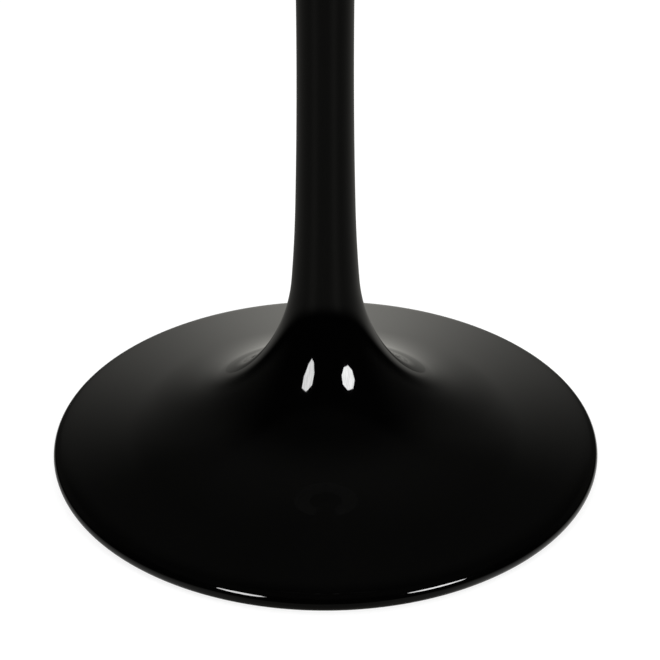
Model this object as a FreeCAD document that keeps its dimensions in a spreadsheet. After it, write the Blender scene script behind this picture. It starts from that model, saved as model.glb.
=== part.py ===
"""Trumpet pedestal for a table: one hollow casting with its mounting plate, screws and floor glides.

+Z is up and the origin lies on the floor under the centre of the foot. Lengths are millimetres and angles
degrees. Heights inside the casting are measured from the underside of its rim, which the glides hold clear
of the floor.
"""
import FreeCAD
import Part
import Sketcher

import math
import os
import re
from types import SimpleNamespace

from FreeCAD import Vector

DIMENSIONS = [
    ("base_height", 710, "floor to the top of the mounting plate"),
    ("foot_radius", 260, "outside of the foot"),
    ("rim_radius", 9, "round of the foot's edge"),
    ("rim_land", 12, "flat underside of the rim"),
    ("disc_slope", 6, "rise of the foot towards the stem, in degrees"),
    ("flare_radius", 175, "curve from the foot into the stem"),
    ("neck_radius", 1500, "gentler curve above the flare"),
    ("neck_height", 262, "height at which the neck gives way to the column"),
    ("column_sweep", 6000, "long curve that draws the column in to its waist"),
    ("waist_radius", 25, "column at its thinnest"),
    ("waist_height", 425, "height of the thinnest place"),
    ("wall", 6, "thickness of the casting"),
    ("head_radius", 60, "top of the column, under the plate"),
    ("head_edge", 6, "upright edge of the head"),
    ("head_flare", 140, "curve from the column into the head"),
    ("throat_slope", 62, "core under the stem, in degrees"),
    ("skirt_slope", 34, "core under the flare, in degrees"),
    ("rib_thickness", 5, "web under the foot"),
    ("rib_reach", 85, "inner end of a web, from the axis"),
    ("rib_foot", 3, "height of a web's lower edge at the rim"),
    ("rib_crest", 14, "height of a web's lower edge at its inner end"),
    ("glide_count", 4, "glides, each at the end of a web"),
    ("glide_inset", 32, "edge of the foot to the axis of a glide"),
    ("glide_radius", 10, "head of a glide"),
    ("glide_head", 3.5, "thickness of a glide's head"),
    ("glide_chamfer", 1, "edge of a glide that meets the floor"),
    ("floor_gap", 1.5, "clear height under the rim"),
    ("stem_radius", 4, "stem of a glide"),
    ("stem_length", 6.5, "stem above the glide's head"),
    ("stem_clearance", 0.05, "gap round and above a glide's stem"),
    ("boss_margin", 2, "boss beyond the edge of its glide"),
    ("plate_radius", 125, "mounting plate"),
    ("plate_thickness", 6, "mounting plate"),
    ("fixing_count", 4, "holes for the table top's screws"),
    ("fixing_circle", 105, "axis of the plate to the axis of a fixing hole"),
    ("fixing_radius", 3.5, "fixing hole"),
    ("screw_count", 4, "screws that hold the plate to the head"),
    ("screw_circle", 42, "axis of the plate to the axis of a screw"),
    ("screw_radius", 4, "shank of a screw"),
    ("screw_head_radius", 8, "countersunk head of a screw"),
    ("screw_length", 22, "whole length of a screw"),
    ("screw_clearance", 0.5, "gap round the shank in the plate"),
    ("seat_clearance", 0.1, "gap round the screw's head and in its tapped hole"),
    ("tap_spare", 3, "tapped hole beyond the end of its screw"),
    ("socket_radius", 2.9, "hexagon socket across its corners, halved"),
    ("socket_depth", 3, "hexagon socket"),
]
ALIASES = {alias for alias, number, meaning in DIMENSIONS}

RIM_INNER = "(foot_radius - rim_radius - rim_land)"
BORE = "(waist_radius - wall)"
GLIDE_CIRCLE = "(foot_radius - glide_inset)"
CASTING_HEIGHT = "(base_height - plate_thickness - floor_gap)"
BOSS_FOOT = "(glide_head - floor_gap)"
BOSS_TOP = "(2 * rim_radius + (glide_inset - rim_radius) * tan(disc_slope) - wall / 2)"
SCREW_CONE = "(screw_head_radius - screw_radius)"

UP = Vector(0, 0, 1)
HORIZONTAL_AXIS, VERTICAL_AXIS = range(-1, -3, -1)
START, END, CENTRE = range(1, 4)
MATCH = 0.001


def make_sheet(doc):
    """Write the driving dimensions into the sheet, one row each."""
    sheet = doc.addObject("Spreadsheet::Sheet", "Dimensions")
    for row, (alias, number, meaning) in enumerate(DIMENSIONS, 1):
        sheet.set("A%d" % row, meaning)
        sheet.set("B%d" % row, str(number))
        sheet.setAlias("B%d" % row, alias)
    doc.recompute()
    return sheet


def bound(formula):
    """Give a formula's names the sheet that they come from."""
    def named(match):
        word = match.group()
        return "Dimensions." + word if word in ALIASES else word
    return re.sub(r"[a-z_]+", named, formula)


def amount(holder, formula):
    """Work out a formula with the sheet's present values."""
    return float(holder.evalExpression(bound(formula)))


def new_body(doc, name, height="0", circle=None, turn="0"):
    """Make a body at a height, on the axis or part of a turn round a circle."""
    body = doc.addObject("PartDesign::Body", name)
    body.Label = name
    body.setExpression("Placement.Base.z", bound(height))
    if circle:
        body.setExpression("Placement.Base.x", bound("%s * cos(%s)" % (circle, turn)))
        body.setExpression("Placement.Base.y", bound("%s * sin(%s)" % (circle, turn)))
    return body


def new_sketch(body, name, plane, height="0"):
    """Make a sketch on one of the body's own planes, or at a height above it."""
    sketch = body.newObject("Sketcher::SketchObject", name)
    support = next(item for item in body.Origin.OriginFeatures if item.Role == plane)
    sketch.AttachmentSupport = [(support, "")]
    sketch.MapMode = "FlatFace"
    sketch.setExpression("AttachmentOffset.Base.z", bound(height))
    return sketch


def tie(sketch, kind, *places):
    """Constrain geometry with no size of its own."""
    return sketch.addConstraint(Sketcher.Constraint(kind, *places))


def measure(sketch, kind, *places, formula):
    """Constrain geometry to a size from the sheet."""
    number = amount(sketch, formula)
    if kind == "Angle":
        number = math.radians(number)
    index = sketch.addConstraint(Sketcher.Constraint(kind, *places, number))
    sketch.setExpression("Constraints[%d]" % index, bound(formula))


def place(sketch, item, end, across, up):
    """Tie a point of the sketch to its two coordinates."""
    for kind, axis, formula in (("DistanceX", VERTICAL_AXIS, across), ("DistanceY", HORIZONTAL_AXIS, up)):
        if formula == "0":
            tie(sketch, "PointOnObject", item, end, axis)
        else:
            measure(sketch, kind, HORIZONTAL_AXIS, START, item, end, formula=formula)


def draw_outline(sketch, corners):
    """Draw a closed outline of straight lines whose corners are pairs of formulas."""
    spots = [Vector(amount(sketch, across), amount(sketch, up), 0) for across, up in corners]
    ahead = spots[1:] + spots[:1]
    lines = [sketch.addGeometry(Part.LineSegment(*ends)) for ends in zip(spots, ahead)]
    for index, (across, up) in enumerate(corners):
        tie(sketch, "Coincident", lines[index - 1], END, lines[index], START)
        place(sketch, lines[index], START, across, up)


def draw_circle(sketch, across, radius):
    """Draw a circle centred on the sketch's horizontal axis."""
    centre = Vector(amount(sketch, across), 0, 0)
    circle = sketch.addGeometry(Part.Circle(centre, UP, amount(sketch, radius)))
    place(sketch, circle, CENTRE, across, "0")
    measure(sketch, "Radius", circle, formula=radius)


def draw_arc(sketch, centre, upper, lower):
    """Draw an arc anticlockwise round its centre, from its upper end to its lower end."""
    angles = [math.atan2(end.y - centre.y, end.x - centre.x) % (2 * math.pi) for end in (upper, lower)]
    circle = Part.Circle(centre, UP, (upper - centre).Length)
    return sketch.addGeometry(Part.ArcOfCircle(circle, *angles))


def add_feature(body, kind, name, grows, formulas=None, **settings):
    """Add a feature tied to the sheet, and make sure that it adds material or takes it away."""
    before = 0 if body.Shape.isNull() else body.Shape.Volume
    feature = body.newObject("PartDesign::" + kind, name)
    for key, setting in settings.items():
        setattr(feature, key, setting)
    for key, formula in (formulas or {}).items():
        feature.setExpression(key, bound(formula))
    body.Tip = feature
    body.Document.recompute()
    change = body.Shape.Volume - before
    if change == 0 or (change > 0) != grows:
        raise ValueError("%s of %s changed the volume by %.3f" % (name, body.Label, change))
    return feature


def add_pattern(body, name, originals, count, grows):
    """Repeat features round the body's upright axis."""
    axis = next(item for item in body.Origin.OriginFeatures if item.Role == "Z_Axis")
    add_feature(body, "PolarPattern", name, grows, {"Occurrences": count},
                Originals=originals, Axis=(axis, [""]), Angle=360)


def find_rings(body, radius, height):
    """Name the round edges of that radius and height, in the body's own frame."""
    rings = []
    for index, edge in enumerate(body.Tip.Shape.Edges, 1):
        if isinstance(edge.Curve, Part.Circle):
            level = abs(edge.Curve.Center.z - amount(body, height)) < MATCH
            if level and abs(edge.Curve.Radius - amount(body, radius)) < MATCH:
                rings.append("Edge%d" % index)
    if not rings:
        raise ValueError("%s has no round edge %s at %s" % (body.Label, radius, height))
    return rings


def trumpet(size, depth):
    """Find the tangent arcs of the surface that lies a depth inside the casting's outer skin.

    The disc is a straight slope from the rim. Flare, neck and column are arcs that take over from it, each
    tangent to the one before, and the column's centre is level with the waist.
    """
    slope = math.radians(size.disc_slope)
    inward = Vector(-math.cos(slope), math.sin(slope), 0)
    outward = Vector(math.sin(slope), math.cos(slope), 0)
    rim = Vector(size.foot_radius - size.rim_radius, size.rim_radius, 0)
    brink = rim + outward * (size.rim_radius - depth)

    sweep = size.column_sweep + depth
    drop = size.waist_height - size.neck_height
    column = Vector(size.waist_radius + size.column_sweep, size.waist_height, 0)
    shoulder = column - Vector(math.sqrt(sweep ** 2 - drop ** 2), drop, 0)

    bend = size.neck_radius + depth
    neck = shoulder + (column - shoulder) * (bend / sweep)

    curl = size.flare_radius + depth
    offset = brink + outward * curl - neck
    lead = offset.dot(inward)
    run = math.sqrt(lead ** 2 - offset.dot(offset) + (bend - curl) ** 2) - lead
    flare = brink + outward * curl + inward * run
    toe = flare - outward * curl
    throat = flare + (flare - neck).normalize() * curl
    return SimpleNamespace(rim=rim, brink=brink, toe=toe, flare=flare, throat=throat, neck=neck,
                           shoulder=shoulder, column=column)


def core_corners(size, flare):
    """Find where the core's straight tapers meet, all of them tangent to the flare's inside."""
    curl = size.flare_radius + size.wall

    def meet(upper, lower):
        middle = math.radians((upper + lower) / 2)
        reach = curl / math.cos(math.radians((upper - lower) / 2))
        return flare - Vector(math.sin(middle), math.cos(middle), 0) * reach

    throat = math.radians(size.throat_slope)
    bore = size.waist_radius - size.wall
    drop = (curl - (flare.x - bore) * math.sin(throat)) / math.cos(throat)
    bore_end = Vector(bore, flare.y - drop, 0)
    return bore_end, meet(size.throat_slope, size.skirt_slope), meet(size.skirt_slope, size.disc_slope)


def head_arc(size, column, lip):
    """Find the centre of the head's flare, and where it leaves the column."""
    reach = size.column_sweep - size.head_flare
    apart = lip - column
    along = (reach ** 2 - size.head_flare ** 2 + apart.Length ** 2) / (2 * apart.Length)
    aside = math.sqrt(reach ** 2 - along ** 2)
    ahead = apart * (1 / apart.Length)
    head = column + ahead * along + Vector(-ahead.y, ahead.x, 0) * aside
    collar = head + (head - column).normalize() * size.head_flare
    return head, collar


def draw_section(sketch, size):
    """Draw the casting's wall from the rim's underside up to the head and back down inside."""
    outer = trumpet(size, 0)
    inner = trumpet(size, size.wall)
    bore_end, skirt_top, skirt_end = core_corners(size, outer.flare)
    rim_inner = amount(sketch, RIM_INNER)
    top = amount(sketch, CASTING_HEIGHT)
    lip = Vector(size.head_radius, top - size.head_edge, 0)
    crown = Vector(size.head_radius, top, 0)
    head, collar = head_arc(size, outer.column, lip)
    mouth = Vector(bore_end.x, top, 0)
    rim_foot = Vector(outer.rim.x, 0, 0)
    land = Vector(rim_inner, 0, 0)
    fall = (rim_inner - inner.brink.x) / (inner.toe.x - inner.brink.x)
    corner = inner.brink + (inner.toe - inner.brink) * fall

    def line(start, end):
        return sketch.addGeometry(Part.LineSegment(start, end))

    underside = line(land, rim_foot)
    rim = draw_arc(sketch, outer.rim, rim_foot, outer.brink)
    disc = line(outer.brink, outer.toe)
    flare = draw_arc(sketch, outer.flare, outer.throat, outer.toe)
    neck = draw_arc(sketch, outer.neck, outer.shoulder, outer.throat)
    column = draw_arc(sketch, outer.column, collar, outer.shoulder)
    cup = draw_arc(sketch, head, lip, collar)
    edge = line(lip, crown)
    face = line(crown, mouth)
    bore = line(mouth, bore_end)
    throat_taper = line(skirt_top, bore_end)
    skirt_taper = line(skirt_end, skirt_top)
    inner_disc = line(skirt_end, corner)
    rim_wall = line(corner, land)

    tie(sketch, "Tangent", underside, END, rim, START)
    tie(sketch, "Tangent", rim, END, disc, START)
    tie(sketch, "Tangent", disc, END, flare, END)
    tie(sketch, "Tangent", flare, START, neck, END)
    tie(sketch, "Tangent", neck, START, column, END)
    tie(sketch, "Tangent", column, START, cup, END)
    tie(sketch, "Coincident", cup, START, edge, START)
    tie(sketch, "Coincident", edge, END, face, START)
    tie(sketch, "Coincident", face, END, bore, START)
    tie(sketch, "Coincident", bore, END, throat_taper, END)
    tie(sketch, "Coincident", throat_taper, START, skirt_taper, END)
    tie(sketch, "Coincident", skirt_taper, START, inner_disc, START)
    tie(sketch, "Coincident", inner_disc, END, rim_wall, START)
    tie(sketch, "Coincident", rim_wall, END, underside, START)
    tie(sketch, "Vertical", bore)
    tie(sketch, "Parallel", inner_disc, disc)
    tie(sketch, "Horizontal", underside)
    tie(sketch, "Vertical", edge)
    tie(sketch, "Horizontal", face)
    tie(sketch, "Vertical", rim_wall)

    place(sketch, underside, START, RIM_INNER, "0")
    measure(sketch, "DistanceX", HORIZONTAL_AXIS, START, rim, CENTRE, formula="foot_radius - rim_radius")
    measure(sketch, "Radius", rim, formula="rim_radius")
    measure(sketch, "Angle", disc, formula="180 - disc_slope")
    measure(sketch, "Radius", flare, formula="flare_radius")
    measure(sketch, "Radius", neck, formula="neck_radius")
    measure(sketch, "DistanceY", HORIZONTAL_AXIS, START, neck, START, formula="neck_height")
    measure(sketch, "Radius", column, formula="column_sweep")
    place(sketch, column, CENTRE, "column_sweep + waist_radius", "waist_height")
    measure(sketch, "Radius", cup, formula="head_flare")
    place(sketch, cup, START, "head_radius", CASTING_HEIGHT + " - head_edge")
    measure(sketch, "DistanceY", HORIZONTAL_AXIS, START, edge, END, formula=CASTING_HEIGHT)
    measure(sketch, "DistanceX", HORIZONTAL_AXIS, START, bore, START, formula=BORE)
    measure(sketch, "Angle", throat_taper, formula="180 - throat_slope")
    measure(sketch, "Angle", skirt_taper, formula="180 - skirt_slope")
    for taper in (throat_taper, skirt_taper, inner_disc):
        measure(sketch, "Distance", flare, CENTRE, taper, formula="flare_radius + wall")
    return disc, flare


def draw_rib(sketch, size, section, disc, flare):
    """Draw a web whose upper edge runs along the middle of the foot's wall."""
    middle = trumpet(size, size.wall / 2)
    sketch.addExternal(section.Name, "Edge%d" % (disc + 1))
    sketch.addExternal(section.Name, "Edge%d" % (flare + 1))
    disc_above, flare_above = -3, -4
    outer_end = amount(sketch, RIM_INNER + " + rim_land / 2")
    fall = (outer_end - middle.brink.x) / (middle.toe.x - middle.brink.x)
    heel = middle.brink + (middle.toe - middle.brink) * fall
    reach = middle.flare.x - size.rib_reach
    drop = math.sqrt((size.flare_radius + size.wall / 2) ** 2 - reach ** 2)
    peak = Vector(size.rib_reach, middle.flare.y - drop, 0)
    toe = Vector(outer_end, size.rib_foot, 0)
    crest = Vector(size.rib_reach, size.rib_crest, 0)

    lower = sketch.addGeometry(Part.LineSegment(toe, crest))
    inner_end = sketch.addGeometry(Part.LineSegment(crest, peak))
    curve = draw_arc(sketch, middle.flare, peak, middle.toe)
    slope = sketch.addGeometry(Part.LineSegment(middle.toe, heel))
    end = sketch.addGeometry(Part.LineSegment(heel, toe))
    tie(sketch, "Coincident", lower, END, inner_end, START)
    tie(sketch, "Coincident", inner_end, END, curve, START)
    tie(sketch, "Tangent", curve, END, slope, START)
    tie(sketch, "Coincident", slope, END, end, START)
    tie(sketch, "Coincident", end, END, lower, START)
    tie(sketch, "Vertical", inner_end)
    tie(sketch, "Vertical", end)
    tie(sketch, "Coincident", curve, CENTRE, flare_above, CENTRE)
    tie(sketch, "Parallel", slope, disc_above)
    measure(sketch, "Radius", curve, formula="flare_radius + wall / 2")
    place(sketch, lower, START, RIM_INNER + " + rim_land / 2", "rib_foot")
    place(sketch, lower, END, "rib_reach", "rib_crest")


def make_pedestal(doc, size):
    """Turn the hollow casting, then add its webs, the bosses of its glides and the head's tapped holes."""
    body = new_body(doc, "pedestal", "floor_gap")
    section = new_sketch(body, "Section", "XZ_Plane")
    disc, flare = draw_section(section, size)
    doc.recompute()
    add_feature(body, "Revolution", "Trumpet", True, Profile=section, ReferenceAxis=(section, ["V_Axis"]),
                Angle=360)

    rib_sketch = new_sketch(body, "RibOutline", "XZ_Plane")
    draw_rib(rib_sketch, size, section, disc, flare)
    doc.recompute()
    rib = add_feature(body, "Pad", "Rib", True, {"Length": "rib_thickness"}, Profile=rib_sketch,
                      SideType="Symmetric")
    boss_sketch = new_sketch(body, "BossOutline", "XY_Plane", BOSS_FOOT)
    draw_circle(boss_sketch, GLIDE_CIRCLE, "glide_radius + boss_margin")
    boss = add_feature(body, "Pad", "Boss", True, {"Length": BOSS_TOP + " - " + BOSS_FOOT},
                       Profile=boss_sketch)
    add_pattern(body, "Webs", [rib, boss], "glide_count", True)
    socket_sketch = new_sketch(body, "StemOutline", "XY_Plane", BOSS_FOOT)
    draw_circle(socket_sketch, GLIDE_CIRCLE, "stem_radius + stem_clearance")
    socket = add_feature(body, "Pocket", "StemSocket", False, {"Length": "stem_length + stem_clearance"},
                         Profile=socket_sketch, Reversed=True)
    add_pattern(body, "StemSockets", [socket], "glide_count", False)

    tap_sketch = new_sketch(body, "TapOutline", "XY_Plane", CASTING_HEIGHT)
    draw_circle(tap_sketch, "screw_circle", "screw_radius + seat_clearance")
    doc.recompute()
    tap = add_feature(body, "Hole", "TappedHole", False,
                      {"Diameter": "2 * (screw_radius + seat_clearance)",
                       "Depth": "screw_length - plate_thickness + tap_spare"},
                      Profile=tap_sketch, DepthType="Dimension", DrillPoint="Flat", HoleCutType="None")
    add_pattern(body, "TappedHoles", [tap], "screw_count", False)
    return body


def make_plate(doc):
    """Make the disc that carries the table top, countersunk for its screws."""
    body = new_body(doc, "mounting_plate", "base_height - plate_thickness")
    outline = new_sketch(body, "PlateOutline", "XY_Plane")
    draw_circle(outline, "0", "plate_radius")
    add_feature(body, "Pad", "Disc", True, {"Length": "plate_thickness"}, Profile=outline)

    seat_sketch = new_sketch(body, "SeatOutline", "XY_Plane", "plate_thickness")
    draw_circle(seat_sketch, "screw_circle", "screw_radius + screw_clearance")
    doc.recompute()
    seat = add_feature(body, "Hole", "ScrewSeat", False,
                       {"Diameter": "2 * (screw_radius + screw_clearance)",
                        "HoleCutDiameter": "2 * (screw_head_radius + seat_clearance)"},
                       Profile=seat_sketch, DepthType="ThroughAll", HoleCutType="Countersink",
                       HoleCutCustomValues=True, HoleCutCountersinkAngle=90)
    add_pattern(body, "ScrewSeats", [seat], "screw_count", False)

    fixing_sketch = new_sketch(body, "FixingOutline", "XY_Plane", "plate_thickness")
    draw_circle(fixing_sketch, "fixing_circle", "fixing_radius")
    fixing = add_feature(body, "Pocket", "FixingHole", False, Profile=fixing_sketch, Type="ThroughAll")
    add_pattern(body, "FixingHoles", [fixing], "fixing_count", False)
    return body


def make_screw(doc, index):
    """Turn one countersunk screw, its tip at the bottom, and cut its hexagon socket."""
    turn = "%d * 360 / screw_count" % index
    body = new_body(doc, "plate_screw_%d" % (index + 1), "base_height - screw_length", "screw_circle", turn)
    outline = new_sketch(body, "ScrewOutline", "XZ_Plane")
    draw_outline(outline, [
        ("0", "0"),
        ("screw_radius", "0"),
        ("screw_radius", "screw_length - " + SCREW_CONE),
        ("screw_head_radius", "screw_length"),
        ("0", "screw_length"),
    ])
    doc.recompute()
    add_feature(body, "Revolution", "Shank", True, Profile=outline, ReferenceAxis=(outline, ["V_Axis"]),
                Angle=360)
    hexagon = new_sketch(body, "SocketOutline", "XY_Plane", "screw_length")
    half, height = "socket_radius / 2", "socket_radius * cos(30)"
    draw_outline(hexagon, [
        ("socket_radius", "0"),
        (half, height),
        ("-" + half, height),
        ("-socket_radius", "0"),
        ("-" + half, "-" + height),
        (half, "-" + height),
    ])
    add_feature(body, "Pocket", "Socket", False, {"Length": "socket_depth"}, Profile=hexagon)
    return body


def make_glide(doc, index):
    """Turn one glide: a flat head on the floor and a stem that pushes into its boss."""
    turn = "%d * 360 / glide_count" % index
    body = new_body(doc, "floor_glide_%d" % (index + 1), "0", GLIDE_CIRCLE, turn)
    outline = new_sketch(body, "GlideOutline", "XZ_Plane")
    draw_outline(outline, [
        ("0", "0"),
        ("glide_radius", "0"),
        ("glide_radius", "glide_head"),
        ("stem_radius", "glide_head"),
        ("stem_radius", "glide_head + stem_length"),
        ("0", "glide_head + stem_length"),
    ])
    doc.recompute()
    add_feature(body, "Revolution", "Turned", True, Profile=outline, ReferenceAxis=(outline, ["V_Axis"]),
                Angle=360)
    add_feature(body, "Chamfer", "FootChamfer", False, {"Size": "glide_chamfer"},
                Base=(body.Tip, find_rings(body, "glide_radius", "0")))
    return body


def make_group(doc, name, bodies):
    """Group like pieces under one name. They stay separate solids."""
    group = doc.addObject("Part::Compound", name)
    group.Label = name
    group.Links = bodies
    return group


def check(doc, nodes):
    """Stop if any object failed or any sub-part is not sound."""
    for item in doc.Objects:
        if "Invalid" in item.State or "Error" in item.State:
            raise ValueError("%s failed: %s" % (item.Name, item.State))
        if item.TypeId == "Sketcher::SketchObject" and not item.FullyConstrained:
            raise ValueError("%s is not fully constrained" % item.Name)
    for node in nodes:
        if node.Shape.isNull() or not node.Shape.isValid() or not node.Shape.Solids:
            raise ValueError("%s has no sound solid" % node.Label)


def main():
    doc = FreeCAD.newDocument("table_base")
    sheet = make_sheet(doc)
    size = SimpleNamespace(**{alias: float(sheet.get(alias)) for alias in ALIASES})
    screws = [make_screw(doc, index) for index in range(int(size.screw_count))]
    glides = [make_glide(doc, index) for index in range(int(size.glide_count))]
    nodes = [make_pedestal(doc, size), make_plate(doc)]
    nodes += [make_group(doc, "plate_screws", screws), make_group(doc, "floor_glides", glides)]
    doc.recompute()
    check(doc, nodes)
    os.makedirs("parts", exist_ok=True)
    for node in nodes:
        node.Shape.exportStep("parts/%s.step" % node.Label)
        print("%s: %d solids, %.1f cm3" % (node.Label, len(node.Shape.Solids), node.Shape.Volume / 1000))


main()
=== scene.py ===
"""Tulip table base in gloss black lacquer, with its fittings and a small studio.

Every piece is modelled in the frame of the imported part: +Z is up, the origin lies on the floor under the
centre of the foot, and lengths are metres.
"""

import math

import bpy
from bpy.props import FloatProperty, FloatVectorProperty, IntProperty, PointerProperty
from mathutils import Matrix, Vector


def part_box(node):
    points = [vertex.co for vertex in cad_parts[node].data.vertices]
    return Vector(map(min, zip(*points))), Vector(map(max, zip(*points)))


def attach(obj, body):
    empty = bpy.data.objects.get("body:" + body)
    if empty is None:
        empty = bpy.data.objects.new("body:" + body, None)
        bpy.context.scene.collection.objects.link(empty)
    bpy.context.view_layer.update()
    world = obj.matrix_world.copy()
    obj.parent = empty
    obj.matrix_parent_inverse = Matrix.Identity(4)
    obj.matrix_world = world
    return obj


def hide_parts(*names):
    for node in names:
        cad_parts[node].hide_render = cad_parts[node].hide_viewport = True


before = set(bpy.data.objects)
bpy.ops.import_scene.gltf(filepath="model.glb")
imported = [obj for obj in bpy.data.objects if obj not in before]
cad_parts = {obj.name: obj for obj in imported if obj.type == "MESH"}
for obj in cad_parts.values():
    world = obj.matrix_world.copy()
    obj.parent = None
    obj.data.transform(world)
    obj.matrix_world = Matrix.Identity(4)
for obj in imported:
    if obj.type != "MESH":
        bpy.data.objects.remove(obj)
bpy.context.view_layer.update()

bl_info = {
    "name": "Tulip table base",
    "version": (1, 0, 0),
    "blender": (4, 5, 0),
    "location": "View3D > Sidebar > Table base",
    "description": "Models a trumpet pedestal with its fittings and sets up a studio round it",
    "category": "Add Mesh",
}

FULL_TURN = 2 * math.pi
ORIGIN = Vector((0, 0, 0))
ACROSS = Vector((0, 1, 0))
UP = Vector((0, 0, 1))

# Points closer than this become one: in a turned outline, and after cuts.
TURNED_WELD = 1e-5
CUT_WELD = 1e-6
# An edge this close to a ring or a level lies on it.
ON_LINE = 1e-4

# Steps along the casting's section, from the rim to the head and down inside.
RIM_STEPS, DISC_CUTS, FLARE_STEPS, NECK_STEPS, COLUMN_STEPS, HEAD_STEPS = 28, 14, 80, 14, 24, 36
BORE_CUTS, THROAT_CUTS, SKIRT_CUTS, ROOF_CUTS = 8, 6, 6, 8
WEB_STEPS = 16

# Steps round the smaller turned pieces and the pins that cut holes.
BOSS_FACETS = 48
PLATE_FACETS = 192
FIXING_FACETS = 48
FITTING_FACETS = 64
SOCKET_SIDES = 6
GLIDE_ROUND_STEPS = 6

# Edges sharper than this stay sharp.
CASTING_CREASE = math.radians(20)
FITTING_CREASE = math.radians(30)

# Where most of a noise pattern's values lie.
NOISE_RANGE = (0.3, 0.7)


def length(name, description, default):
    """A size in metres."""
    return FloatProperty(name=name, description=description, default=default, unit="LENGTH")


def angle(name, description, degrees):
    """An angle, given in degrees."""
    return FloatProperty(name=name, description=description, default=math.radians(degrees), subtype="ANGLE")


def shade(name, description, colour):
    """An opaque colour."""
    return FloatVectorProperty(name=name, description=description, default=(*colour, 1), subtype="COLOR",
                               size=4, min=0, max=1)


class PedestalSizes(bpy.types.PropertyGroup):
    """Sizes of the casting. Heights are measured from the underside of its rim."""

    foot_radius: length("Foot radius", "Outside of the foot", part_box("pedestal")[1][0])
    height: length("Height", "Underside of the rim to the top of the head",
                   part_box("pedestal")[1][2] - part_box("pedestal")[0][2])
    floor_gap: length("Floor gap", "Clear height under the rim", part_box("pedestal")[0][2])
    rim_radius: length("Rim radius", "Round of the foot's edge", 0.009)
    rim_land: length("Rim land", "Flat underside of the rim", 0.012)
    disc_slope: angle("Disc slope", "Rise of the foot towards the stem", 6)
    flare_radius: length("Flare radius", "Curve from the foot into the stem", 0.175)
    neck_radius: length("Neck radius", "Gentler curve above the flare", 1.5)
    neck_height: length("Neck height", "Height at which the column begins", 0.262)
    column_sweep: length("Column sweep", "Long curve of the column", 6.0)
    waist_radius: length("Waist radius", "Column at its thinnest", 0.025)
    waist_height: length("Waist height", "Height of the thinnest place", 0.425)
    wall: length("Wall", "Thickness of the casting", 0.006)
    head_radius: length("Head radius", "Top of the column, under the plate", 0.06)
    head_edge: length("Head edge", "Upright edge of the head", 0.006)
    head_flare: length("Head flare", "Curve from the column into the head", 0.14)
    throat_slope: angle("Throat slope", "Core under the stem", 62)
    skirt_slope: angle("Skirt slope", "Core under the flare", 34)
    web_thickness: length("Web thickness", "Web under the foot", 0.005)
    web_reach: length("Web reach", "Inner end of a web, from the axis", 0.085)
    web_foot: length("Web foot", "Height of a web's lower edge at the rim", 0.003)
    web_crest: length("Web crest", "Height of a web's lower edge at its inner end", 0.014)
    edge_round: length("Edge round", "Round on the sharp edges of the casting", 0.0008)
    facets: IntProperty(name="Facets", description="Steps round the axis", default=256, min=32)


class FittingSizes(bpy.types.PropertyGroup):
    """Sizes of the mounting plate, its screws and the floor glides."""

    plate_radius: length("Plate radius", "Mounting plate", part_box("mounting_plate")[1][0])
    plate_foot: length("Plate foot", "Height of the plate's underside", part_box("mounting_plate")[0][2])
    plate_top: length("Plate top", "Height of the plate's upper face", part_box("mounting_plate")[1][2])
    plate_edge: length("Plate edge", "Round on the plate's edges", 0.0006)
    fixing_count: IntProperty(name="Fixings", description="Holes for the table top's screws",
                              default=4, min=1)
    fixing_circle: length("Fixing circle", "Axis to a fixing hole", 0.105)
    fixing_radius: length("Fixing radius", "Fixing hole", 0.0035)
    screw_count: IntProperty(name="Screws", description="Screws that hold the plate", default=4, min=1)
    screw_circle: length("Screw circle", "Axis to a screw", 0.042)
    screw_radius: length("Screw radius", "Shank of a screw", 0.004)
    screw_head: length("Screw head", "Radius of the countersunk head", 0.008)
    screw_length: length("Screw length", "Whole length of a screw", 0.022)
    screw_chamfer: length("Screw chamfer", "Chamfer at a screw's tip", 0.0006)
    screw_clearance: length("Screw clearance", "Gap round the shank in the plate", 0.0005)
    seat_clearance: length("Seat clearance", "Gap round a screw's head and thread", 0.0001)
    tap_spare: length("Tap spare", "Tapped hole beyond the screw's tip", 0.003)
    socket_radius: length("Socket radius", "Hexagon socket to its corners", 0.0029)
    socket_depth: length("Socket depth", "Hexagon socket", 0.003)
    glide_count: IntProperty(name="Glides", description="Floor glides", default=4, min=1)
    glide_inset: length("Glide inset", "Edge of the foot to the axis of a glide", 0.032)
    glide_radius: length("Glide radius", "Head of a glide", 0.01)
    glide_head: length("Glide head", "Thickness of a glide's head", 0.0035)
    glide_round: length("Glide round", "Edge of a glide that meets the floor", 0.001)
    stem_radius: length("Stem radius", "Stem of a glide", 0.004)
    stem_length: length("Stem length", "Stem above the glide's head", 0.0065)
    boss_margin: length("Boss margin", "Boss beyond the edge of its glide", 0.002)


class Finishes(bpy.types.PropertyGroup):
    """Colours of the finishes, and the painted light on the top of the foot."""

    lacquer: shade("Lacquer", "Gloss black on the casting", (0.0002, 0.0002, 0.0002))
    # Painted light: a lighter colour on the top of the foot, standing in for the light that falls on it
    # from above.
    painted_top_light: shade("Haze", "Thin haze on the top of the foot", (0.0017, 0.0017, 0.0016))
    plate_coat: shade("Plate coat", "Satin black on the plate", (0.02, 0.0198, 0.019))
    screw_steel: shade("Screw steel", "Zinc plated steel", (0.56, 0.57, 0.58))
    nylon: shade("Nylon", "Moulded glides", (0.03, 0.03, 0.031))


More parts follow.
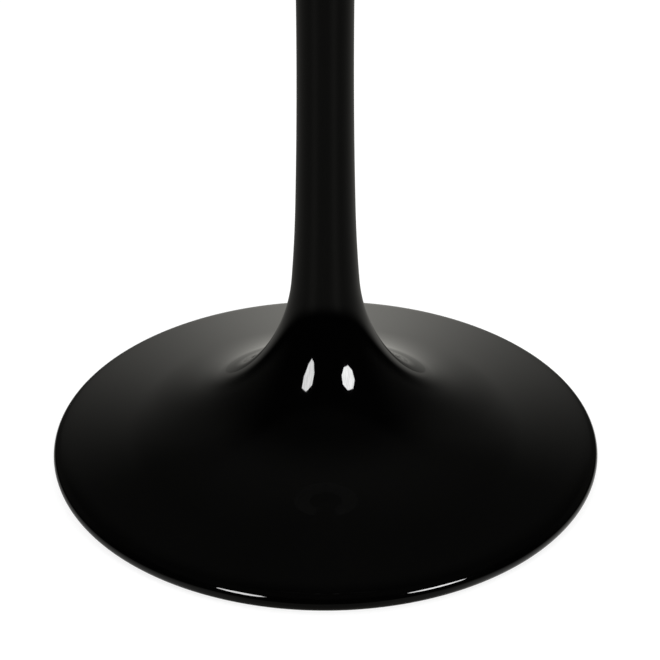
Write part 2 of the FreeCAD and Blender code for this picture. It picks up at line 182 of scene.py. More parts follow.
class StudioSettings(bpy.types.PropertyGroup):
    """Camera and light."""

    camera_place: FloatVectorProperty(name="Camera", description="Place of the camera", subtype="XYZ",
                                      unit="LENGTH", default=(0.00415, -1.66705, 1.10647))
    camera_pitch: angle("Pitch", "Camera's tilt below the horizon", 30.305)
    lens: FloatProperty(name="Lens", description="Focal length", default=112.92, unit="CAMERA")
    sensor: FloatProperty(name="Sensor", description="Width of the sensor", default=36.0, unit="CAMERA")
    ambient: FloatProperty(name="Ambient", description="Strength of the soft white room light",
                           default=1.06)
    floor_glow: FloatProperty(name="Floor glow", description="Light that the floor gives by itself",
                              default=0.75)
    softbox: FloatProperty(name="Softboxes", description="Strength of the two softboxes", default=22.0)
    backdrop: FloatProperty(name="Backdrop", description="Brightness of the backdrop in the gloss",
                            default=1.27)
    room_shine: FloatProperty(name="Room shine", description="Brightness of the room in the gloss",
                              default=0.06)
    floor_shine: FloatProperty(name="Floor shine", description="Brightness of the floor in the gloss",
                               default=0.092)
    rim_shine: FloatProperty(name="Rim shine", description="Brightness of the floor in the rim's gloss",
                             default=0.28)


def select_only(piece):
    """Make a piece active, with nothing else selected."""
    bpy.ops.object.select_all(action="DESELECT")
    bpy.context.view_layer.objects.active = piece
    piece.select_set(True)


def settle_transform():
    """Put the active piece's place, turn and scale into its mesh."""
    bpy.ops.object.transform_apply(location=True, rotation=True, scale=True)


def name_piece(piece, name):
    """Give a piece and its mesh one name."""
    piece.name = name
    piece.data.name = name


def begin_profile(name, start):
    """Put down the first point of an outline: a small plane drawn together to its centre."""
    bpy.ops.object.select_all(action="DESELECT")
    bpy.ops.mesh.primitive_plane_add(size=0.01, location=start)
    piece = bpy.context.object
    name_piece(piece, name)
    settle_transform()
    bpy.ops.object.mode_set(mode="EDIT")
    bpy.ops.mesh.select_mode(type="VERT")
    bpy.ops.mesh.select_all(action="SELECT")
    bpy.ops.mesh.merge(type="CENTER")
    return piece


def draw_line(start, end, cuts=1):
    """Draw the outline on from start to end, in a number of equal steps."""
    for _ in range(cuts):
        bpy.ops.mesh.extrude_region_move(TRANSFORM_OT_translate={"value": (end - start) / cuts})


def draw_arc(centre, start, end, steps):
    """Draw the outline on along an arc, the shorter way round its centre."""
    first, last = [math.atan2(spot.z - centre.z, spot.x - centre.x) for spot in (start, end)]
    sweep = (last - first + math.pi) % FULL_TURN - math.pi
    bpy.ops.mesh.spin(steps=steps, angle=sweep, center=centre, axis=ACROSS)


def turn_profile(facets, centre=ORIGIN):
    """Spin the outline round an upright axis into a closed skin that faces outwards."""
    bpy.ops.mesh.select_all(action="SELECT")
    bpy.ops.mesh.spin(steps=facets, angle=FULL_TURN, center=centre, axis=UP)
    bpy.ops.mesh.select_all(action="SELECT")
    bpy.ops.mesh.remove_doubles(threshold=TURNED_WELD)
    bpy.ops.mesh.normals_make_consistent(inside=False)
    bpy.ops.object.mode_set(mode="OBJECT")


def turn_corners(name, corners, facets, centre):
    """Draw straight from corner to corner and turn the outline."""
    piece = begin_profile(name, corners[0])
    for start, end in zip(corners, corners[1:]):
        draw_line(start, end)
    turn_profile(facets, centre)
    return piece


def make_pin(sides, radius, depth, place):
    """Make an upright pin, to use as it is or to cut a hole."""
    bpy.ops.object.select_all(action="DESELECT")
    bpy.ops.mesh.primitive_cylinder_add(vertices=sides, radius=radius, depth=depth, location=place)
    settle_transform()
    return bpy.context.object


def round_edges(piece, wanted, size, segments=3):
    """Bevel the edges whose two ends together pass a test."""
    bpy.ops.object.mode_set(mode="EDIT")
    bpy.ops.mesh.select_mode(type="EDGE")
    bpy.ops.mesh.select_all(action="DESELECT")
    bpy.ops.object.mode_set(mode="OBJECT")
    spots = piece.data.vertices
    chosen = [edge for edge in piece.data.edges if wanted(*[spots[index].co for index in edge.vertices])]
    if not chosen:
        raise RuntimeError("%s has no edge to round" % piece.name)
    for edge in chosen:
        edge.select = True
    bpy.ops.object.mode_set(mode="EDIT")
    bpy.ops.mesh.bevel(offset=size, offset_type="OFFSET", segments=segments, profile=0.5, affect="EDGES")
    bpy.ops.object.mode_set(mode="OBJECT")


def on_ring(radius, height, first, second, centre=ORIGIN):
    """Tell whether both ends of an edge lie on one level ring."""
    return all(abs((spot - centre).xy.length - radius) < ON_LINE and abs(spot.z - height) < ON_LINE
               for spot in (first, second))


def combine(piece, tool, operation):
    """Join a tool to a piece, or cut it away, and use the tool up."""
    select_only(piece)
    modifier = piece.modifiers.new(operation.title(), "BOOLEAN")
    modifier.operation = operation
    modifier.solver = "EXACT"
    modifier.object = tool
    bpy.ops.object.modifier_apply(modifier=modifier.name)
    bpy.data.objects.remove(tool)


def ring_of_copies(piece, name, count):
    """Copy a piece evenly round the upright axis, each copy with a mesh of its own."""
    copies = [piece]
    for index in range(1, count):
        select_only(piece)
        bpy.ops.object.duplicate(linked=False)
        copy = bpy.context.object
        copy.rotation_euler.z = FULL_TURN * index / count
        settle_transform()
        copies.append(copy)
    for index, copy in enumerate(copies, 1):
        name_piece(copy, "%s_%d" % (name, index))
    return copies


def finish_piece(piece, node, material, crease):
    """Merge the double points that cuts leave, shade a piece, paint it and let it stand for its node."""
    select_only(piece)
    bpy.ops.object.mode_set(mode="EDIT")
    bpy.ops.mesh.select_mode(type="VERT")
    bpy.ops.mesh.select_all(action="SELECT")
    bpy.ops.mesh.remove_doubles(threshold=CUT_WELD)
    bpy.ops.object.mode_set(mode="OBJECT")
    bpy.ops.object.shade_smooth_by_angle(angle=crease)
    piece.data.materials.clear()
    piece.data.materials.append(material)
    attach(piece, "root")
    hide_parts(node)


def new_finish(name, **values):
    """Make a material and set its shader's own values. One that exists comes back with no shader."""
    material = bpy.data.materials.get(name)
    if material:
        return material, None
    material = bpy.data.materials.new(name)
    material.use_nodes = True
    shader = material.node_tree.nodes["Principled BSDF"]
    for socket, value in values.items():
        shader.inputs[socket].default_value = value
    return material, shader


def new_glow(name):
    """Make an empty material for a light."""
    material = bpy.data.materials.new(name)
    material.use_nodes = True
    material.node_tree.nodes.clear()
    return material


def add_node(tree, kind, place, **settings):
    """Add a node and set its options and unlinked sockets."""
    node = tree.nodes.new(kind)
    node.location = place
    for key, value in settings.items():
        if key in node.inputs:
            node.inputs[key].default_value = value
        else:
            setattr(node, key, value)
    return node


def next_place(tree):
    """The next free place for a small node, in rows of eight."""
    row, column = divmod(len(tree.nodes), 8)
    return 200 * column - 1500, -200 * row


def work_out(tree, operation, *values):
    """Add a math node on numbers and other nodes' results."""
    node = add_node(tree, "ShaderNodeMath", next_place(tree), operation=operation)
    for socket, value in zip(node.inputs, values):
        if isinstance(value, bpy.types.NodeSocket):
            tree.links.new(value, socket)
        else:
            socket.default_value = value
    return node.outputs["Value"]


def fade(tree, value, zero, one):
    """Ease from 0 at one value to 1 at another."""
    low, high = sorted((zero, one))
    span = add_node(tree, "ShaderNodeMapRange", next_place(tree), interpolation_type="SMOOTHSTEP")
    set_range(span, low, high, float(zero == high), float(zero == low))
    tree.links.new(value, span.inputs["Value"])
    return span.outputs["Result"]


def set_range(span, *limits):
    """Set what a range node reads and what it gives."""
    for socket, limit in zip(("From Min", "From Max", "To Min", "To Max"), limits):
        span.inputs[socket].default_value = limit


def read_spot(tree, output):
    """Take a place or a direction apart into its three numbers."""
    spot = add_node(tree, "ShaderNodeTexCoord", (-1900, 600))
    parts = add_node(tree, "ShaderNodeSeparateXYZ", (-1700, 600))
    tree.links.new(spot.outputs[output], parts.inputs["Vector"])
    return [parts.outputs[axis] for axis in "XYZ"]


def level_length(tree, right, back):
    """Length of a place or a direction, seen from above."""
    squares = work_out(tree, "MULTIPLY_ADD", back, back, work_out(tree, "MULTIPLY", right, right))
    return work_out(tree, "SQRT", squares)


def add_noise(tree, scale, detail, row):
    """Add a noise pattern that is fixed to the piece."""
    spot = add_node(tree, "ShaderNodeTexCoord", (-900, row))
    noise = add_node(tree, "ShaderNodeTexNoise", (-700, row), Scale=scale, Detail=detail)
    tree.links.new(spot.outputs["Object"], noise.inputs["Vector"])
    return noise


def colour_between(tree, shader, amount, first, second, positions=(0.0, 1.0)):
    """Let the colour run from one shade to another."""
    ramp = add_node(tree, "ShaderNodeValToRGB", (-400, 300))
    for element, tone, position in zip(ramp.color_ramp.elements, (first, second), positions):
        element.color = tone
        element.position = position
    tree.links.new(amount, ramp.inputs["Fac"])
    tree.links.new(ramp.outputs["Color"], shader.inputs["Base Color"])


def vary_colour(tree, shader, noise, colour, spread):
    """Let the colour drift a little either side of its own shade."""
    tones = [[channel * factor for channel in colour[:3]] + [1] for factor in (1 - spread, 1 + spread)]
    colour_between(tree, shader, noise.outputs["Fac"], *tones, positions=NOISE_RANGE)


def vary_roughness(tree, shader, noise, low, high):
    """Let the gloss drift between two values."""
    span = add_node(tree, "ShaderNodeMapRange", (-400, 0))
    set_range(span, *NOISE_RANGE, low, high)
    tree.links.new(noise.outputs["Fac"], span.inputs["Value"])
    tree.links.new(span.outputs["Result"], shader.inputs["Roughness"])


def add_texture(tree, shader, noise, depth):
    """Raise the surface by a noise pattern."""
    bump = add_node(tree, "ShaderNodeBump", (-400, -300), Strength=1.0, Distance=depth)
    tree.links.new(noise.outputs["Fac"], bump.inputs["Height"])
    tree.links.new(bump.outputs["Normal"], shader.inputs["Normal"])


def paint_top_light(tree, shader, noise, colour, painted_top_light, brim):
    """Paint light on the top of the foot, as a lighter colour. The painted light begins at the brim and
    fades out up the flare.
    """
    begins = (brim - 0.001, brim + 0.0015)
    thins_out = (brim + 0.055, brim + 0.025)
    uneven = 0.2
    height = read_spot(tree, "Object")[2]
    top_light_mask = work_out(tree, "MULTIPLY", fade(tree, height, *begins), fade(tree, height, *thins_out))
    even_top_light = work_out(tree, "MULTIPLY", top_light_mask, 1 - uneven)
    amount = work_out(tree, "MULTIPLY_ADD", noise.outputs["Fac"], uneven, even_top_light)
    colour_between(tree, shader, amount, colour, painted_top_light)


def lacquer_finish(colour, painted_top_light, brim):
    """Deep gloss lacquer with the faint ripple of a sprayed coat, painted lighter on the top of the foot as
    painted light.
    """
    material, shader = new_finish("gloss_black_lacquer", IOR=1.5)
    if shader:
        tree = material.node_tree
        drift = add_noise(tree, scale=9.0, detail=2.0, row=200)
        ripple = add_noise(tree, scale=260.0, detail=1.0, row=-300)
        # Painted light: the colour runs lighter on the top of the foot.
        paint_top_light(tree, shader, drift, colour, painted_top_light, brim)
        vary_roughness(tree, shader, drift, low=0.03, high=0.055)
        add_texture(tree, shader, ripple, depth=2.5e-6)
    return material


def grained_finish(name, colour, spread, drifting, roughness, graining, depth, **values):
    """A finish whose colour and gloss drift, with a fine grain. Each noise is a scale and a detail."""
    material, shader = new_finish(name, **values)
    if shader:
        tree = material.node_tree
        drift = add_noise(tree, *drifting, 200)
        grain = add_noise(tree, *graining, -300)
        vary_colour(tree, shader, drift, colour, spread)
        vary_roughness(tree, shader, drift, *roughness)
        add_texture(tree, shader, grain, depth)
    return material


def plate_finish(colour):
    """Satin coat with a fine grain."""
    return grained_finish("satin_black_coat", colour, spread=0.15, drifting=(14.0, 3.0),
                          roughness=(0.58, 0.68), graining=(1400.0, 2.0), depth=4.0e-5, IOR=1.4)


def screw_finish(colour):
    """Zinc plated steel with a faint mottle."""
    return grained_finish("zinc_plated_steel", colour, spread=0.12, drifting=(500.0, 4.0),
                          roughness=(0.24, 0.38), graining=(3000.0, 2.0), depth=4.0e-6, Metallic=1.0)


def nylon_finish(colour):
    """Matt moulded nylon."""
    return grained_finish("moulded_nylon", colour, spread=0.2, drifting=(120.0, 3.0),
                          roughness=(0.5, 0.62), graining=(2200.0, 2.0), depth=2.0e-5, IOR=1.5)


class Section:
    """Corners and arc centres of the casting's section, in the plane of X and Z."""

    def __init__(self, sizes):
        self.sizes = sizes
        self.base = sizes.floor_gap
        self.rim = self.spot(sizes.foot_radius - sizes.rim_radius, sizes.rim_radius)
        self.outward = Vector((math.sin(sizes.disc_slope), 0, math.cos(sizes.disc_slope)))
        self.inward = Vector((-math.cos(sizes.disc_slope), 0, math.sin(sizes.disc_slope)))
        self.find_trumpet()
        self.find_head()
        self.find_core()

    def spot(self, across, up):
        """A point of the section, its height taken from the rim's underside."""
        return Vector((across, 0, up + self.base))

    def find_trumpet(self):
        """Disc, flare, neck and column, each tangent to the one before."""
        sizes = self.sizes
        drop = sizes.waist_height - sizes.neck_height
        reach = sizes.column_sweep + sizes.waist_radius
        self.column = self.spot(reach, sizes.waist_height)
        self.shoulder = self.spot(reach - math.sqrt(sizes.column_sweep ** 2 - drop ** 2), sizes.neck_height)
        share = sizes.neck_radius / sizes.column_sweep
        self.neck = self.shoulder + (self.column - self.shoulder) * share
        self.brink = self.rim + self.outward * sizes.rim_radius
        curl = sizes.flare_radius
        offset = self.brink + self.outward * curl - self.neck
        lead = offset.dot(self.inward)
        run = math.sqrt(lead ** 2 - offset.dot(offset) + (sizes.neck_radius - curl) ** 2) - lead
        self.flare = self.brink + self.outward * curl + self.inward * run
        self.toe = self.flare - self.outward * curl
        self.throat = self.flare + (self.flare - self.neck).normalized() * curl

    def find_head(self):
        """The upper flare and the edge under the plate."""
        sizes = self.sizes
        self.crown = self.spot(sizes.head_radius, sizes.height)
        self.lip = self.spot(sizes.head_radius, sizes.height - sizes.head_edge)
        reach = sizes.column_sweep - sizes.head_flare
        apart = self.lip - self.column
        along = (reach ** 2 - sizes.head_flare ** 2 + apart.length ** 2) / (2 * apart.length)
        ahead = apart.normalized()
        aside = Vector((-ahead.z, 0, ahead.x)) * math.sqrt(reach ** 2 - along ** 2)
        self.head = self.column + ahead * along + aside
        self.collar = self.head + (self.head - self.column).normalized() * sizes.head_flare

    def find_core(self):
        """The straight tapers inside, each tangent to the inside of the flare."""
        sizes = self.sizes
        curl = sizes.flare_radius + sizes.wall
        bore = sizes.waist_radius - sizes.wall
        self.mouth = self.spot(bore, sizes.height)
        lead = (self.flare.x - bore) * math.sin(sizes.throat_slope)
        self.bore_end = Vector((bore, 0, self.flare.z - (curl - lead) / math.cos(sizes.throat_slope)))
        self.skirt_top = self.core_corner(curl, sizes.throat_slope, sizes.skirt_slope)
        self.skirt_end = self.core_corner(curl, sizes.skirt_slope, sizes.disc_slope)
        inner = sizes.foot_radius - sizes.rim_radius - sizes.rim_land
        self.land = self.spot(inner, 0)
        fall = (inner - self.skirt_end.x) * math.tan(sizes.disc_slope)
        self.corner = Vector((inner, 0, self.skirt_end.z - fall))

    def core_corner(self, curl, upper, lower):
        """Where two tapers meet."""
        middle = (upper + lower) / 2
        reach = curl / math.cos((upper - lower) / 2)
        return self.flare - Vector((math.sin(middle), 0, math.cos(middle))) * reach


def model_casting(sizes, section):
    """Draw the wall's section, all tangent arcs and straight tapers, and turn it."""
    rim_foot = section.spot(section.rim.x, 0)
    piece = begin_profile("pedestal_casting", section.land)
    draw_line(section.land, rim_foot)
    draw_arc(section.rim, rim_foot, section.brink, RIM_STEPS)
    draw_line(section.brink, section.toe, DISC_CUTS)
    draw_arc(section.flare, section.toe, section.throat, FLARE_STEPS)
    draw_arc(section.neck, section.throat, section.shoulder, NECK_STEPS)
    draw_arc(section.column, section.shoulder, section.collar, COLUMN_STEPS)
    draw_arc(section.head, section.collar, section.lip, HEAD_STEPS)
    draw_line(section.lip, section.crown)
    draw_line(section.crown, section.mouth)
    draw_line(section.mouth, section.bore_end, BORE_CUTS)
    draw_line(section.bore_end, section.skirt_top, THROAT_CUTS)
    draw_line(section.skirt_top, section.skirt_end, SKIRT_CUTS)
    draw_line(section.skirt_end, section.corner, ROOF_CUTS)
    draw_line(section.corner, section.land)
    turn_profile(sizes.facets)

    def on_sharp_ring(first, second):
        rings = (section.lip, section.crown, section.land)
        return any(on_ring(ring.x, ring.z, first, second) for ring in rings)

    round_edges(piece, on_sharp_ring, sizes.edge_round)
    return piece


def model_web(sizes, section):
    """Draw one web's outline up to the middle of the foot's wall, fill it and give it its thickness."""
    half_wall = sizes.wall / 2
    outer_end = sizes.foot_radius - sizes.rim_radius - sizes.rim_land / 2
    start = section.spot(outer_end, sizes.web_foot)
    crest = section.spot(sizes.web_reach, sizes.web_crest)
    curl = sizes.flare_radius + half_wall
    reach = section.flare.x - sizes.web_reach
    peak = Vector((sizes.web_reach, 0, section.flare.z - math.sqrt(curl ** 2 - reach ** 2)))
    toe = section.toe - section.outward * half_wall
    heel = Vector((outer_end, 0, toe.z - (outer_end - toe.x) * math.tan(sizes.disc_slope)))

    piece = begin_profile("web", start)
    draw_line(start, crest)
    draw_line(crest, peak)
    draw_arc(section.flare, peak, toe, WEB_STEPS)
    draw_line(toe, heel)
    bpy.ops.mesh.select_all(action="SELECT")
    bpy.ops.mesh.edge_face_add()
    bpy.ops.transform.translate(value=-ACROSS * sizes.web_thickness / 2)
    bpy.ops.mesh.extrude_region_move(TRANSFORM_OT_translate={"value": ACROSS * sizes.web_thickness})
    bpy.ops.mesh.select_all(action="SELECT")
    bpy.ops.mesh.normals_make_consistent(inside=False)
    bpy.ops.object.mode_set(mode="OBJECT")

    def on_lower_edge(first, second):
        return max(first.z, second.z) < max(start.z, crest.z) + ON_LINE

    round_edges(piece, on_lower_edge, sizes.edge_round)
    return piece


def model_boss(sizes, fittings, section):
    """Turn one boss with the socket for its glide's stem."""
    circle = sizes.foot_radius - fittings.glide_inset
    radius = fittings.glide_radius + fittings.boss_margin
    foot = fittings.glide_head
    depth = (circle - section.toe.x) * math.tan(sizes.disc_slope)
    top = section.toe.z - depth - sizes.wall / 2
    axis = Vector((circle, 0, 0))

    def spot(across, up):
        return Vector((circle + across, 0, up))

    corners = [
        spot(0, top),
        spot(radius, top),
        spot(radius, foot),
        spot(fittings.stem_radius, foot),
        spot(fittings.stem_radius, foot + fittings.stem_length),
        spot(0, foot + fittings.stem_length),
    ]
    piece = turn_corners("boss", corners, BOSS_FACETS, axis)

    def on_foot(first, second):
        return on_ring(radius, foot, first, second, axis)

    round_edges(piece, on_foot, sizes.edge_round)
    return piece


class TABLEBASE_OT_pedestal(bpy.types.Operator):
    """Model the hollow casting with the webs and bosses under its foot"""

    bl_idname = "tablebase.pedestal"
    bl_label = "Pedestal"

    def execute(self, context):
        sizes = context.scene.pedestal_sizes
        fittings = context.scene.fitting_sizes
        finishes = context.scene.finishes
        section = Section(sizes)
        casting = model_casting(sizes, section)
        webs = ring_of_copies(model_web(sizes, section), "web", fittings.glide_count)
        bosses = ring_of_copies(model_boss(sizes, fittings, section), "boss", fittings.glide_count)
        for tool in webs + bosses:
            combine(casting, tool, "UNION")
        for tool in ring_of_copies(self.model_tapping(fittings), "tapping", fittings.screw_count):
            combine(casting, tool, "DIFFERENCE")
        brim = sizes.floor_gap + 2 * sizes.rim_radius
        # The lacquer gets painted light on the top of the foot, from the brim up.
        finish = lacquer_finish(finishes.lacquer, finishes.painted_top_light, brim)
        finish_piece(casting, "pedestal", finish, CASTING_CREASE)
        return {"FINISHED"}

    def model_tapping(self, fittings):
        """Make the pin that cuts a tapped hole into the head."""
        depth = fittings.screw_length - (fittings.plate_top - fittings.plate_foot) + fittings.tap_spare
        return make_pin(FITTING_FACETS, fittings.screw_radius + fittings.seat_clearance, 2 * depth,
                        (fittings.screw_circle, 0, fittings.plate_foot))


class TABLEBASE_OT_mounting_plate(bpy.types.Operator):
    """Model the plate that takes the table top, with its countersinks and fixing holes"""

    bl_idname = "tablebase.mounting_plate"
    bl_label = "Mounting plate"

    def execute(self, context):
        fittings = context.scene.fitting_sizes
        thickness = fittings.plate_top - fittings.plate_foot
        middle = fittings.plate_foot + thickness / 2
        plate = make_pin(PLATE_FACETS, fittings.plate_radius, thickness, UP * middle)
        name_piece(plate, "mounting_plate_disc")

        def on_rim(first, second):
            heights = (fittings.plate_foot, fittings.plate_top)
            return any(on_ring(fittings.plate_radius, height, first, second) for height in heights)

        round_edges(plate, on_rim, fittings.plate_edge)
        seat = self.model_seat(fittings)
        fixing = make_pin(FIXING_FACETS, fittings.fixing_radius, 2 * thickness,
                          (fittings.fixing_circle, 0, middle))
        tools = ring_of_copies(seat, "seat", fittings.screw_count)
        tools += ring_of_copies(fixing, "fixing", fittings.fixing_count)
        for tool in tools:
            combine(plate, tool, "DIFFERENCE")
        finish = plate_finish(context.scene.finishes.plate_coat)
        finish_piece(plate, "mounting_plate", finish, FITTING_CREASE)
        return {"FINISHED"}

    def model_seat(self, fittings):
        """Turn the form that cuts a countersunk hole."""
        circle = fittings.screw_circle
        shank = fittings.screw_radius + fittings.screw_clearance
        head = fittings.screw_head + fittings.seat_clearance
        over = 0.001
        corners = [
            Vector((circle, 0, fittings.plate_foot - over)),
            Vector((circle + shank, 0, fittings.plate_foot - over)),
            Vector((circle + shank, 0, fittings.plate_top - (head - shank))),
            Vector((circle + head + over, 0, fittings.plate_top + over)),
            Vector((circle, 0, fittings.plate_top + over)),
        ]
        return turn_corners("seat", corners, FITTING_FACETS, Vector((circle, 0, 0)))


class TABLEBASE_OT_plate_screws(bpy.types.Operator):
    """Model one countersunk screw and copy it round the plate"""

    bl_idname = "tablebase.plate_screws"
    bl_label = "Plate screws"

    def execute(self, context):
        fittings = context.scene.fitting_sizes
        circle = fittings.screw_circle
        shank = fittings.screw_radius
        top = fittings.plate_top
        tip = top - fittings.screw_length
        corners = [
            Vector((circle, 0, tip)),
            Vector((circle + shank - fittings.screw_chamfer, 0, tip)),
            Vector((circle + shank, 0, tip + fittings.screw_chamfer)),
            Vector((circle + shank, 0, top - (fittings.screw_head - shank))),
            Vector((circle + fittings.screw_head, 0, top)),
            Vector((circle, 0, top)),
        ]
        screw = turn_corners("plate_screw", corners, FITTING_FACETS, Vector((circle, 0, 0)))
        socket = make_pin(SOCKET_SIDES, fittings.socket_radius, 2 * fittings.socket_depth, (circle, 0, top))
        combine(screw, socket, "DIFFERENCE")
        finish = screw_finish(context.scene.finishes.screw_steel)
        for copy in ring_of_copies(screw, "plate_screw", fittings.screw_count):
            finish_piece(copy, "plate_screws", finish, FITTING_CREASE)
        return {"FINISHED"}


class TABLEBASE_OT_floor_glides(bpy.types.Operator):
    """Model one glide and copy it under the foot"""

    bl_idname = "tablebase.floor_glides"
    bl_label = "Floor glides"

    def execute(self, context):
        fittings = context.scene.fitting_sizes
        circle = context.scene.pedestal_sizes.foot_radius - fittings.glide_inset
        edge = fittings.glide_round

        def spot(across, up):
            return Vector((circle + across, 0, up))

        shoulder = spot(fittings.glide_radius, fittings.glide_head)
        inner = spot(fittings.stem_radius, fittings.glide_head)
        stem_top = spot(fittings.stem_radius, fittings.glide_head + fittings.stem_length)
        foot, flank = spot(fittings.glide_radius - edge, 0), spot(fittings.glide_radius, edge)
        glide = begin_profile("floor_glide", spot(0, 0))
        draw_line(spot(0, 0), foot)
        draw_arc(spot(fittings.glide_radius - edge, edge), foot, flank, GLIDE_ROUND_STEPS)
        draw_line(flank, shoulder)
        draw_line(shoulder, inner)
        draw_line(inner, stem_top)
        draw_line(stem_top, spot(0, stem_top.z))
        turn_profile(FITTING_FACETS, spot(0, 0))
        finish = nylon_finish(context.scene.finishes.nylon)
        for copy in ring_of_copies(glide, "floor_glide", fittings.glide_count):
            finish_piece(copy, "floor_glides", finish, FITTING_CREASE)
        return {"FINISHED"}


class TABLEBASE_OT_studio(bpy.types.Operator):
    """Set up the floor, the light and the camera"""

    bl_idname = "tablebase.studio"
    bl_label = "Studio"

    # Turns are level angles in degrees, from straight behind the foot round to the right. A pair that is
    # named for an edge or a side is a fade, from nothing at its first number to full at its second.
    FLOOR_SIZE = 12
    FLOOR_SHADE = (0.28, 0.28, 0.28, 1)

    POOL_SIDES = 96
    POOL_RADIUS = 0.3
    POOL_DEPTH = 0.0005
    POOL_EDGE = (0.30, 0.27)
    POOL_FRONT = (-0.98, -0.8)
    POOL_RIGHT_GAIN = 0.3

    SOFTBOX_REACH = 2.6
    SOFTBOX_AIM = Vector((0, 0, 0.08))
    SOFTBOX_SIDES = 8
    LEFT_SOFTBOX_SHARE = 0.8
    FOLD_STRETCH = (3.5, 0.6, 1)
    FOLD_RANGE = (0.35, 0.65)
    FOLD_TONES = (0.78, 1.06)

    MIRRORED_TINT = (1, 0.985, 0.92, 1)
    BACKDROP_FALL = 22.0
    BACKDROP_FRONT = (0.0, 0.2)
    BACKDROP_TOP = (0.62, 0.38)
    BACKDROP_FOOT = (-0.28, -0.10)

    ROOM_FRONT = (-0.2, 0.6)
    ROOM_FOOT = (-0.10, 0.10)
    ROOM_LOWER = (0.72, 0.5)
    ROOM_LOWER_SHARE = 0.25
    ROOM_OVERHEAD = (0.65, 0.78)
    ROOM_OVERHEAD_SHARE = 0.25
    DIMMED_ABOVE = (0.5, 0.68)
    DIMMED_FOCUS = 5
    DIMMED_SHARE = 0.95

    FLOOR_HORIZON = (-0.12, -0.28)
    # Turn, focus and gain of each lighter part of the mirrored floor.
    FLOOR_POOLS = ((40, 3, 0.13), (-50, 3, 0.05), (145, 30, 0.06), (-138, 30, 0.05))

    def execute(self, context):
        studio = context.scene.studio
        self.lay_floor(studio.floor_glow)
        self.light_rim(studio.rim_shine)
        self.hang_softbox("softbox_right", studio.softbox,
                          turn=137, rise=26, half_sizes=(0.44, 0.29), lean=0.3)
        self.hang_softbox("softbox_left", studio.softbox * self.LEFT_SOFTBOX_SHARE,
                          turn=-145.8, rise=25.5, half_sizes=(0.47, 0.36), taper=0.42)
        self.light_room(context.scene, studio)
        self.place_camera(context.scene, studio)
        context.scene.view_settings.view_transform = "Standard"
        return {"FINISHED"}

    def lay_floor(self, glow):
        """Lay a wide pale floor, lit from inside, that the gloss doesn't mirror. From below it is clear."""
        bpy.ops.object.select_all(action="DESELECT")
        bpy.ops.mesh.primitive_plane_add(size=self.FLOOR_SIZE, location=ORIGIN)
        floor = bpy.context.object
        name_piece(floor, "studio_floor")
        material, shader = new_finish("pale_floor", Roughness=0.8)
        shader.inputs["Base Color"].default_value = self.FLOOR_SHADE
        shader.inputs["Emission Color"].default_value = (1, 1, 1, 1)
        shader.inputs["Emission Strength"].default_value = glow
        tree = material.node_tree
        side = add_node(tree, "ShaderNodeNewGeometry", (0, 500))
        clear = add_node(tree, "ShaderNodeBsdfTransparent", (0, 250))
        choose = add_node(tree, "ShaderNodeMixShader", (300, 300))
        tree.links.new(side.outputs["Backfacing"], choose.inputs["Fac"])
        tree.links.new(shader.outputs["BSDF"], choose.inputs[1])
        tree.links.new(clear.outputs["BSDF"], choose.inputs[2])
        tree.links.new(choose.outputs["Shader"], tree.nodes["Material Output"].inputs["Surface"])
        floor.data.materials.append(material)
        floor.visible_glossy = False

    def light_rim(self, strength):
        """Lay a pool of light that only the gloss of the rim mirrors. It is dark in front."""
        bpy.ops.object.select_all(action="DESELECT")
        bpy.ops.mesh.primitive_circle_add(vertices=self.POOL_SIDES, radius=self.POOL_RADIUS,
                                          fill_type="NGON", location=-UP * self.POOL_DEPTH)
        pool = bpy.context.object
        name_piece(pool, "rim_light")
        material = new_glow("rim_light")
        tree = material.node_tree
        right, back, _ = read_spot(tree, "Object")
        reach = level_length(tree, right, back)
        rightness = work_out(tree, "DIVIDE", right, reach)
        shine = work_out(tree, "MULTIPLY_ADD", rightness, self.POOL_RIGHT_GAIN * strength, strength)
        for edge in (fade(tree, reach, *self.POOL_EDGE),
                     fade(tree, work_out(tree, "DIVIDE", back, reach), *self.POOL_FRONT)):
            shine = work_out(tree, "MULTIPLY", shine, edge)
        glow = add_node(tree, "ShaderNodeEmission", (300, 0))
        clear = add_node(tree, "ShaderNodeBsdfTransparent", (300, -150))
        both = add_node(tree, "ShaderNodeAddShader", (500, 0))
        output = add_node(tree, "ShaderNodeOutputMaterial", (700, 0))
        tree.links.new(shine, glow.inputs["Strength"])
        tree.links.new(glow.outputs["Emission"], both.inputs[0])
        tree.links.new(clear.outputs["BSDF"], both.inputs[1])
        tree.links.new(both.outputs["Shader"], output.inputs["Surface"])
        pool.data.materials.append(material)
        pool.visible_camera = pool.visible_diffuse = pool.visible_shadow = False

    def hang_softbox(self, name, strength, turn, rise, half_sizes, taper=0, lean=0):
        """Hang an eight-sided softbox with soft folds, facing the foot."""
        turn, rise = math.radians(turn), math.radians(rise)
        level = math.cos(rise) * self.SOFTBOX_REACH
        height = math.sin(rise) * self.SOFTBOX_REACH
        place = self.SOFTBOX_AIM + Vector((math.sin(turn) * level, math.cos(turn) * level, height))
        facing = (self.SOFTBOX_AIM - place).to_track_quat("Z", "Y").to_euler()
        bpy.ops.object.select_all(action="DESELECT")
        corner = 1 / math.cos(math.pi / self.SOFTBOX_SIDES)
        bpy.ops.mesh.primitive_circle_add(vertices=self.SOFTBOX_SIDES, radius=corner, fill_type="NGON",
                                          location=place, rotation=facing)
        box = bpy.context.object
        name_piece(box, name)
        for vertex in box.data.vertices:
            share = 1 + taper * (vertex.co.y - 1) / 2
            vertex.co.x = (vertex.co.x + 1) * share - 1 + lean * vertex.co.y
        box.scale = (*half_sizes, 1)
        box.data.materials.append(self.folded_glow(name, strength))
        box.visible_camera = False
        box.visible_shadow = False

